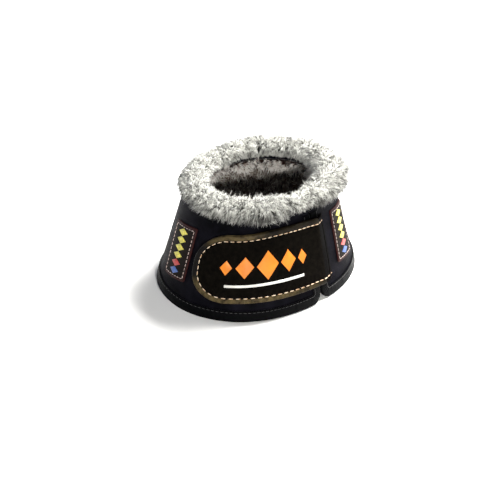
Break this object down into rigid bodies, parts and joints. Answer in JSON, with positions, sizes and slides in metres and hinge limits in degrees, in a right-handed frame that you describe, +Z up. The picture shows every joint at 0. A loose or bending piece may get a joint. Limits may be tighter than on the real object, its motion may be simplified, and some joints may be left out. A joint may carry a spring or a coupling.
{
  "type": "overreach boot",
  "caption": "Bell-shaped horse boot of neoprene with a fleece lining and collar, bound edges, and a wide hook and loop strap that peels so that the boot opens flat.",
  "frame": {"origin": "centre of the hem on the surface that the boot stands on", "axes": "+Z up through the neck; -Y is the front, with the strap; +X is the side that the strap is sewn to"},
  "size_m": [0.1796, 0.1806, 0.101],
  "materials": {
    "shell_neoprene": "matte nylon face on neoprene foam, dark navy",
    "lining_fleece": "grey pile fleece",
    "collar_fleece": "long pale grey pile fleece with dark flecks",
    "binding_tape": "black ribbed binding tape, faint sheen",
    "strap_webbing": "black brushed cloth with a padded rim and pale orange stitching",
    "hook_tape": "black hook tape",
    "loop_tape": "black loop tape",
    "label_cloth": "dark woven cloth, sewn on all round"
  },
  "bodies": {
    "back_panel": {"shell_back": "shell_neoprene", "lining_back": "lining_fleece", "collar_back": "collar_fleece", "binding_back": "binding_tape"},
    "right_rear_panel": {"shell_right_rear": "shell_neoprene", "lining_right_rear": "lining_fleece", "collar_right_rear": "collar_fleece", "binding_right_rear": "binding_tape"},
    "right_front_panel": {"shell_right_front": "shell_neoprene", "lining_right_front": "lining_fleece", "collar_right_front": "collar_fleece", "binding_right_front": "binding_tape", "strap_base": "strap_webbing", "label_right": "label_cloth"},
    "left_rear_panel": {"shell_left_rear": "shell_neoprene", "lining_left_rear": "lining_fleece", "collar_left_rear": "collar_fleece", "binding_left_rear": "binding_tape"},
    "left_front_panel": {"shell_left_front": "shell_neoprene", "lining_left_front": "lining_fleece", "collar_left_front": "collar_fleece", "binding_left_front": "binding_tape", "loop_panel": "loop_tape", "label_left": "label_cloth"},
    "strap_root": {"strap_fold": "strap_webbing"},
    "strap_end": {"strap_tail": "strap_webbing", "hook_tape": "hook_tape"}
  },
  "joints": [
    {"name": "left_front_bend", "type": "hinge", "parent": "left_rear_panel", "child": "left_front_panel", "pos_m": [-0.08998, -0.02924, 0], "axis": [-0.1777, -0.0577, -0.9824], "range_deg": [0, 76]},
    {"name": "left_rear_bend", "type": "hinge", "parent": "back_panel", "child": "left_rear_panel", "pos_m": [-0.05994, 0.05397, 0], "axis": [-0.1189, 0.1071, -0.9871], "range_deg": [0, 57]},
    {"name": "right_rear_bend", "type": "hinge", "parent": "back_panel", "child": "right_rear_panel", "pos_m": [0.02774, 0.09072, 0], "axis": [-0.0548, -0.1791, 0.9823], "range_deg": [0, 57]},
    {"name": "right_front_bend", "type": "hinge", "parent": "right_rear_panel", "child": "right_front_panel", "pos_m": [0.09086, 0.02098, 0], "axis": [-0.1795, -0.0414, 0.9829], "range_deg": [0, 60.8]},
    {"name": "strap_root_bend", "type": "hinge", "parent": "right_front_panel", "child": "strap_root", "pos_m": [0.06161, -0.05745, 0], "axis": [-0.1743, 0.1626, 0.9712], "range_deg": [0, 91.2]},
    {"name": "strap_peel", "type": "hinge", "parent": "strap_root", "child": "strap_end", "pos_m": [0.05005, -0.06843, 0], "axis": [-0.1416, 0.1936, 0.9708], "range_deg": [0, 75]}
  ],
  "couplings": [
    {"joint": "left_rear_bend", "follows": "left_front_bend", "ratio": 0.75},
    {"joint": "right_rear_bend", "follows": "left_front_bend", "ratio": 0.75},
    {"joint": "right_front_bend", "follows": "left_front_bend", "ratio": 0.8},
    {"joint": "strap_root_bend", "follows": "left_front_bend", "ratio": 1.2}
  ]
}
